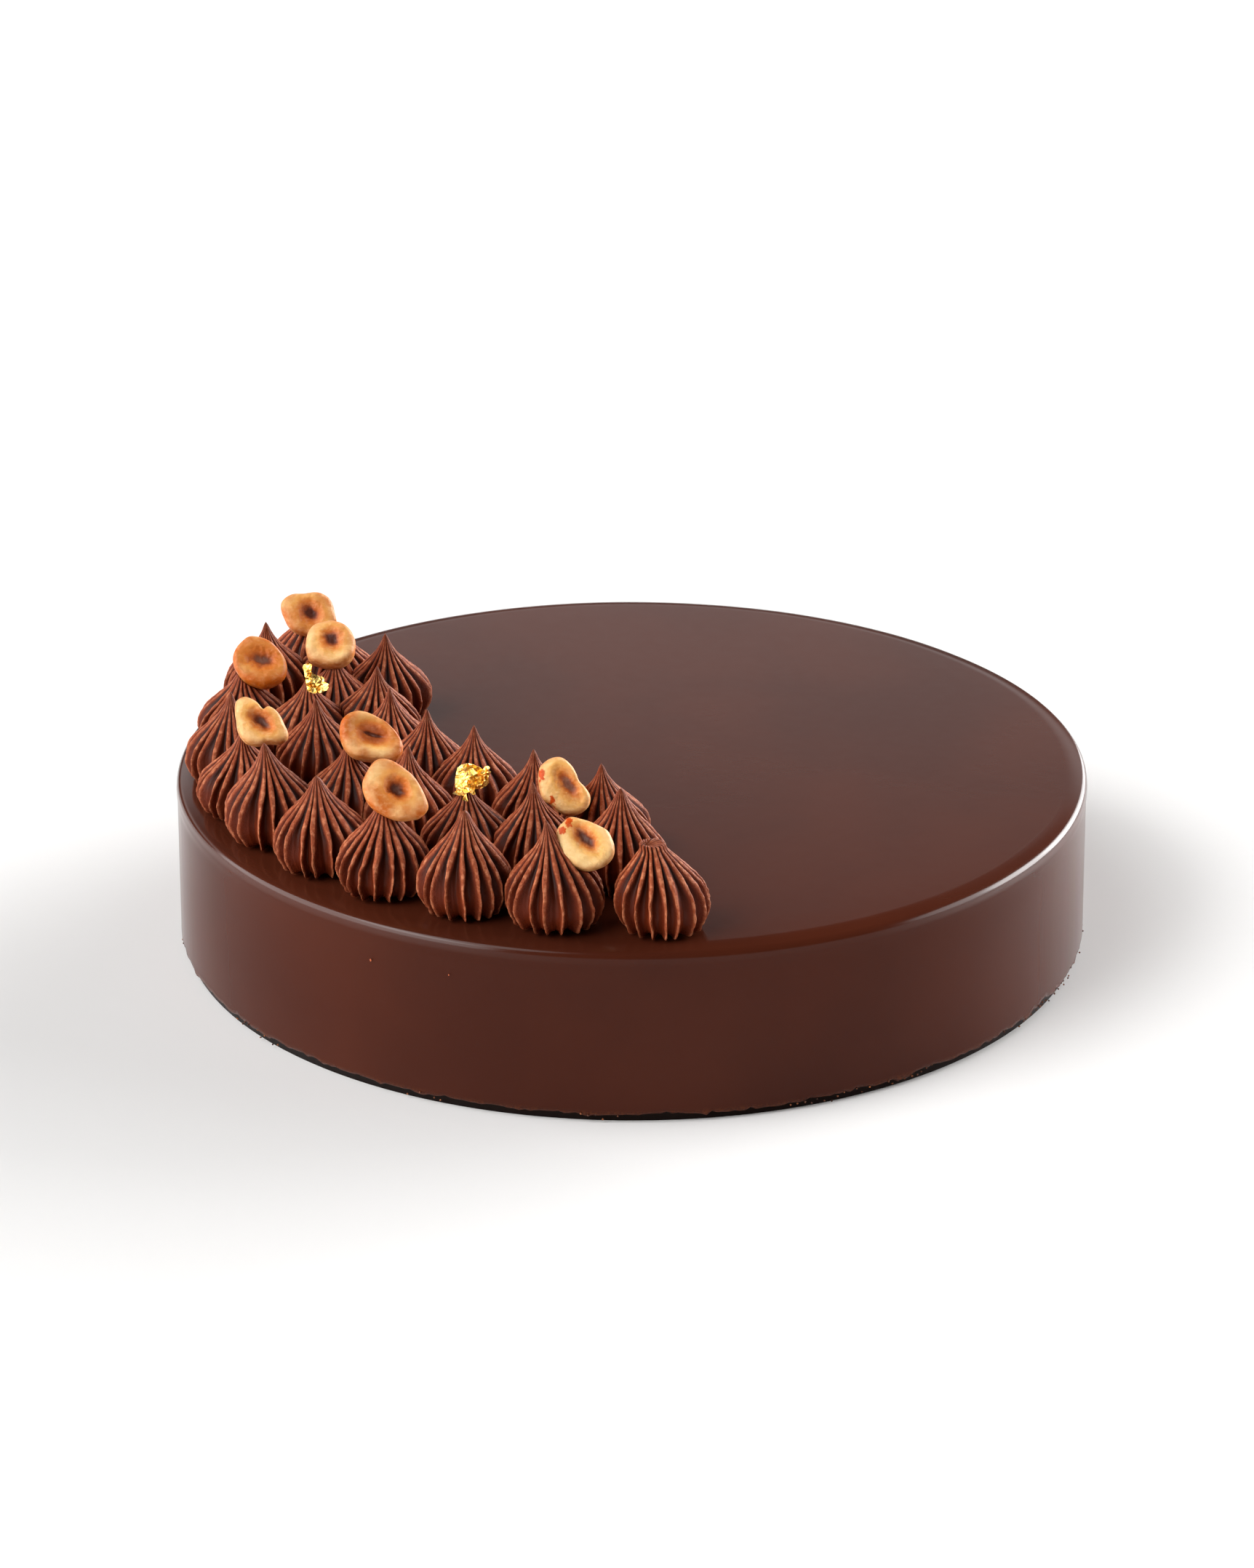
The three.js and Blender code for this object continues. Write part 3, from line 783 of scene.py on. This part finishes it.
def crumb_tree(material):
    """Crumbs that cling to the hem: small torn lumps, more of them in some places than in others."""
    inputs = {"Radius": "Float", "Count": "Int", "Size": "Float", "Seed": "Int"}
    tree, given = new_tree("foot crumbs", inputs)
    wire = Wire(tree)
    links = {"Vertices": given["Count"], "Radius": given["Radius"]}
    circle = wire.add("GeometryNodeMeshCircle", None, links)
    spot = wire.add("GeometryNodeInputPosition")
    crowd = wire.noise(spot.times(1000.0), 0.03, 1.0)
    kept = wire.math("GREATER_THAN", crowd, CRUMB_CROWD)
    settings = {"data_type": "FLOAT_VECTOR"}
    links = {0: CRUMB_LEAST, 1: CRUMB_MOST, "Seed": given["Seed"]}
    strewn = wire.add("FunctionNodeRandomValue", settings, links)
    lifted = strewn.stretched((0.0, 0.0, 1.0))
    offset = wire.vector("NORMALIZE", spot).times(strewn.part(0)).plus(lifted)
    points = wire.add("GeometryNodeSetPosition", None, {"Geometry": circle, "Offset": offset})
    ball = wire.add("GeometryNodeMeshIcoSphere", None, {"Radius": 0.5, "Subdivisions": 2})
    torn = wire.add("ShaderNodeTexNoise", None, {"Scale": 2.6}, out=1).minus((0.5, 0.5, 0.5))
    lump = wire.add("GeometryNodeSetPosition", None, {"Geometry": ball, "Offset": torn.times(0.9)})
    turns = wire.add("FunctionNodeRandomValue", settings, {0: (0.0, 0.0, 0.0), 1: CRUMB_TURNS})
    links = {2: CRUMB_SIZES[0], 3: CRUMB_SIZES[1], "Seed": given["Seed"]}
    sizes = wire.add("FunctionNodeRandomValue", {"data_type": "FLOAT"}, links)
    links = {
        "Points": points, "Selection": kept, "Instance": lump,
        "Rotation": turns, "Scale": sizes * given["Size"],
    }
    end_tree(wire.add("GeometryNodeInstanceOnPoints", None, links), material)
    return tree


# Pieces

def finished(piece, node):
    """Sets a piece on the cake in the place of its solid."""
    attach(piece, "root")
    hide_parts(node)


def placed(name, mesh):
    """An object of this mesh in the scene."""
    piece = bpy.data.objects.new(name, mesh)
    scene.collection.objects.link(piece)
    return piece


def mesh_piece(name, shape, material, smooth=True):
    """An object from a bmesh in this material."""
    mesh = bpy.data.meshes.new(name)
    for face in shape.faces:
        face.smooth = smooth
    shape.to_mesh(mesh)
    shape.free()
    mesh.materials.append(material)
    return placed(name, mesh)


def guide(name, points, edges=()):
    """Bare points and edges for a tree to read."""
    mesh = bpy.data.meshes.new(name)
    mesh.from_pydata(points, edges, [])
    return placed(name, mesh)


def node_corners(name):
    """A solid's corners, as often as its triangles use them, to a hundredth of a millimetre."""
    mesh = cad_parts[name].data
    corners = [mesh.vertices[i].co for face in mesh.polygons for i in face.vertices]
    return Counter(tuple(round(value / MM, 2) for value in corner) for corner in corners)


def kiss_plan(name):
    """A kiss's foot, tip and girth from its solid: the two ends are where a whole ring of triangles meets."""
    corners = node_corners(name)
    low = min(corner[2] for corner in corners)
    fans = [corner for corner, uses in corners.items() if uses >= 2 * KISS_RIBS]
    foot = next(corner for corner in fans if corner[2] < low + FOOT_BAND)
    tips = [corner for corner in fans if corner[2] > low + LEAST_TIP]
    girth = max(math.hypot(corner[0] - foot[0], corner[1] - foot[1]) for corner in corners)
    return Vector(foot) * MM, Vector(tips[0]) * MM if tips else None, girth * MM


def piped_kisses(material, nuts):
    """All the kisses, each squeezed by its neighbours and pressed by the nuts over it."""
    tree = kiss_tree(material)
    plans = {name: kiss_plan(name) for name in sorted(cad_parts) if name.startswith("kiss")}
    feet = guide("kiss_feet", [foot for foot, tip, girth in plans.values()])
    heap = bmesh.new()
    for nut in nuts:
        heap.from_mesh(nut.data)
    lid = mesh_piece("all_nuts", heap, material)
    for number, (name, (foot, tip, girth)) in enumerate(plans.items()):
        blunt = name == BLUNT_KISS
        top = BLUNT_LEVEL if blunt else 1.0
        rise = tip - foot if tip else Vector((0, 0, PRESSED_HEIGHT))
        rise = rise + Vector(TIP_SHIFT.get(name, (0, 0, 0))) * MM
        values = {
            "Foot": foot, "Radius": girth, "Height": rise.z / top, "Lean": Vector((rise.x, rise.y, 0)),
            "Twist": TWIST * math.sin(TWIST_STEP * number), "Turn": TURN_STEP * number,
            "Slim": SLIMNESS.get(name, 1.0), "Top": top, "Flare": BLUNT_FLARE if blunt else 0.0,
            "Others": feet, "Nuts": lid, "Seed": 1.0 + number,
        }
        finished(grown("piped_" + name, tree, values), name)
    bpy.data.objects.remove(feet)
    bpy.data.objects.remove(lid)


def lying(tilt, roll):
    """How a topping lies: rolled, then tilted to the front."""
    return Matrix.Rotation(math.radians(tilt), 3, "X") @ Matrix.Rotation(math.radians(roll), 3, "Y")


def nut_ring(name, lie):
    """A nut's widest ring and its middle, from its solid: the ring lies its depth above the back's middle."""
    flat = [lie.inverted() @ Vector(corner) for corner in node_corners(name)]
    back = min(flat, key=lambda corner: corner.z)
    ring = [corner - back for corner in flat if abs(corner.z - back.z - NUT_DEPTH / MM) < RING_BAND]
    ring.sort(key=lambda corner: math.atan2(corner.y, corner.x))
    middle = lie @ Vector((back.x, back.y, back.z + NUT_DEPTH / MM))
    return [Vector((corner.x, corner.y, 0)) * MM for corner in ring], middle * MM


def on_face(place):
    """A place on a nut's face, from millimetres to the right and up."""
    return Vector((*place, 0)) * MM


def hazelnuts(material):
    """The hazelnut halves; gives their pieces."""
    tree = nut_tree(material)
    pieces = []
    for number, own in enumerate(NUTS, 1):
        nut = PLAIN_NUT | own
        node = f"hazelnut_half_{number}"
        lie = lying(nut["tilt"], nut["roll"])
        ring, middle = nut_ring(node, lie)
        edge = guide("nut_edge", ring, [(i, (i + 1) % len(ring)) for i in range(len(ring))])
        values = {
            "Edge": edge, "Slit": on_face(nut["slit"]), "Slit Angle": math.radians(nut["angle"]),
            "Slit Length": nut["reach"][0] * MM, "Slit Width": nut["reach"][1] * MM,
            "Slit Depth": nut["deep"] * MM, "Halo": nut["halo"], "Soft": nut["soft"], "Ink": nut["ink"],
            "Dull": nut["dull"], "Dish": nut["dish"] * MM, "Roast": nut["roast"],
            "Fleck A": on_face(nut["skin"][0]), "Fleck B": on_face(nut["skin"][1]),
            "Lie": lie.to_euler(), "Middle": middle, "Seed": float(number),
        }
        piece = grown(f"roasted_hazelnut_{number}", tree, values)
        bpy.data.objects.remove(edge)
        finished(piece, node)
        pieces.append(piece)
    return pieces


def fold_height(vertex, folds):
    """How far the folds bring a leaf's corner to the front."""
    bent = 0.0
    for x, y, way, slope in folds:
        past = (vertex.co.x - x * MM) * math.cos(math.radians(way))
        past += (vertex.co.y - y * MM) * math.sin(math.radians(way))
        bent += slope * max(0.0, past)
    return bent


def gold_leaves(material):
    """Thin sheets, creased every way and crumpled, with torn edges."""
    chance = random.Random(CREASE_SEED)
    for number, leaf in enumerate(LEAVES, 1):
        node = f"gold_leaf_{number}"
        shape = bmesh.new()
        shape.faces.new([shape.verts.new((x * MM, y * MM, 0)) for x, y in leaf["edge"]])
        bmesh.ops.triangulate(shape, faces=shape.faces[:])
        for crease in range(LEAF_CREASES):
            angle = chance.uniform(0, math.pi)
            x = chance.uniform(-LEAF_REACH, LEAF_REACH)
            y = chance.uniform(-LEAF_REACH, LEAF_REACH)
            across = Vector((math.cos(angle), math.sin(angle), 0))
            parts = shape.verts[:] + shape.edges[:] + shape.faces[:]
            bmesh.ops.bisect_plane(shape, geom=parts, plane_co=Vector((x, y, 0)) * MM, plane_no=across)
        bmesh.ops.remove_doubles(shape, verts=shape.verts[:], dist=LEAF_WELD)
        bmesh.ops.triangulate(shape, faces=shape.faces[:])
        for vertex in shape.verts:
            bent = fold_height(vertex, leaf["folds"])
            calm = FOLDED_CRUMPLE if abs(bent) > FOLDED_RISE else 1.0
            vertex.co.z = bent + chance.uniform(-1, 1) * LEAF_CRUMPLE * calm
        bmesh.ops.recalc_face_normals(shape, faces=shape.faces[:])
        bmesh.ops.solidify(shape, geom=shape.faces[:], thickness=LEAF_THICKNESS)
        bmesh.ops.recalc_face_normals(shape, faces=shape.faces[:])
        low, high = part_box(node)
        place = Matrix.Translation((low + high) / 2) @ lying(leaf["tilt"], leaf["roll"]).to_4x4()
        bmesh.ops.transform(shape, matrix=place, verts=shape.verts)
        finished(mesh_piece(f"crumpled_leaf_{number}", shape, material, smooth=False), node)


def cake_outline(angle, radius, height):
    """The glazed cake's outline at one angle: foot, ragged hem, side, rounded rim and top."""
    spot = Vector((math.cos(angle), math.sin(angle), 0))
    tear = sum(share * noise.noise(spot * pace) for share, pace in HEM_TEARS)
    hem = HEM_HEIGHT + HEM_RAGGED * 0.5 * tear
    low = hem + HEM_CHAMFER
    foot = radius - FOOT_INSET
    outline = [(foot, 0.0), (foot, HEM_UNDERCUT * hem), (radius - HEM_CHAMFER, hem), (radius, low)]
    slope_drop = RIM_SLOPE_WIDTH * math.tan(RIM_SLOPE) / 2
    high = height - slope_drop - RIM_ROUND * math.cos(RIM_SLOPE)
    for step in range(1, SIDE_STEPS + 1):
        level = low + (high - low) * step / SIDE_STEPS
        ripple = GLAZE_RIPPLE * noise.noise(spot * RIPPLES_ROUND + Vector((0, 0, RIPPLES_UP * level)))
        lip = LIP * math.exp(-((level - LIP_HEIGHT) / LIP_SPREAD) ** 2)
        outline.append((radius - SIDE_TAPER * level / height + ripple + lip, level))
    middle = outline[-1][0] - RIM_ROUND
    for step in range(1, RIM_STEPS + 1):
        turn = (math.pi / 2 - RIM_SLOPE) * step / RIM_STEPS
        outline.append((middle + RIM_ROUND * math.cos(turn), high + RIM_ROUND * math.sin(turn)))
    edge = outline[-1][0]
    for step in range(1, RIM_STEPS + 1):
        way = step / RIM_STEPS
        outline.append((edge - RIM_SLOPE_WIDTH * way, height - slope_drop * (1 - way) ** 2))
    edge = outline[-1][0]
    for step in range(1, TOP_STEPS):
        outline.append((edge * (1 - step / TOP_STEPS), height))
    return outline


def glazed_cake(material):
    """The cake's outline turned round its axis, closed in the middle of its underside and top."""
    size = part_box("glazed_cake")[1]
    shape = bmesh.new()
    ends = [shape.verts.new((0, 0, 0)), shape.verts.new((0, 0, size.z))]
    columns = []
    for column in range(CAKE_COLUMNS):
        angle = 2 * math.pi * column / CAKE_COLUMNS
        outline = cake_outline(angle, size.x, size.z)
        ring = [shape.verts.new((r * math.cos(angle), r * math.sin(angle), z)) for r, z in outline]
        columns.append(ring)
    for column, ring in enumerate(columns):
        after = columns[(column + 1) % CAKE_COLUMNS]
        shape.faces.new((ends[0], after[0], ring[0]))
        shape.faces.new((ends[1], ring[-1], after[-1]))
        for step in range(len(ring) - 1):
            shape.faces.new((ring[step], after[step], after[step + 1], ring[step + 1]))
    finished(mesh_piece("chocolate_cake", shape, material), "glazed_cake")


def crumbs(material, speck):
    """Crumbs along the foot and specks on the side."""
    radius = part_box("glazed_cake")[1].x
    values = {"Radius": radius, "Count": CRUMBS, "Size": CRUMB_SIZE, "Seed": CRUMB_SEED}
    strewn = grown("foot_crumbs", crumb_tree(material), values)
    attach(strewn, "root")
    shape = bmesh.new()
    for bearing, level, width in SPECKS:
        angle = math.radians(-90 - bearing)
        place = Vector((radius * math.cos(angle), radius * math.sin(angle), level * MM))
        flat = Matrix.Rotation(angle, 4, "Z") @ Matrix.Diagonal(SPECK_SHAPE)
        turned = Matrix.Translation(place) @ flat
        bmesh.ops.create_icosphere(shape, subdivisions=2, radius=width * MM / 2, matrix=turned)
    specks = mesh_piece("side_specks", shape, speck)
    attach(specks, "root")


# Stage

def studio():
    """The floor, the glow of the backdrop and the lights."""
    shape = bmesh.new()
    bmesh.ops.create_grid(shape, x_segments=1, y_segments=1, size=FLOOR_REACH)
    floor = mesh_piece("floor", shape, floor_finish())

    world = bpy.data.worlds.new("studio")
    world.use_nodes = True
    tree = world.node_tree
    direction = Wire(tree).add("ShaderNodeTexCoord", out="Generated")
    rise = direction.part(2)
    band = rise.ramp(*BACKDROP_LOW) * (1 - rise.ramp(*BACKDROP_HIGH))
    glow = BACKDROP * direction.part(1).ramp(*BACKDROP_STARTS) * band + SKY
    tree.nodes["Background"].inputs["Color"].default_value = (1.0, 1.0, 1.0, 1.0)
    tree.links.new(glow.socket, tree.nodes["Background"].inputs["Strength"])
    scene.world = world

    for name, (bearing, lift, strength, breadth) in LIGHTS.items():
        light = bpy.data.lights.new(name, "SUN")
        light.energy = strength
        light.angle = math.radians(breadth)
        holder = placed(name, light)
        holder.rotation_euler = Euler((math.radians(90 - lift), 0, math.radians(bearing)))


def photo_camera():
    """The camera at the photograph's place."""
    lens = bpy.data.cameras.new("photo_camera")
    lens.sensor_width = SENSOR
    lens.lens = SENSOR * FOCAL_LENGTH_PX / FRAME_HEIGHT_PX
    camera = placed("photo_camera", lens)
    camera.location = CAMERA_PLACE
    camera.rotation_euler = Euler((math.pi / 2 - CAMERA_PITCH, 0, 0))
    scene.camera = camera


scene.view_settings.view_transform = "Standard"
photo_camera()
studio()
glazed_cake(glaze_finish())
nuts = hazelnuts(hazelnut_finish())
piped_kisses(ganache_finish(), nuts)
gold_leaves(gold_finish())
crumbs(crumb_finish(), speck_finish())
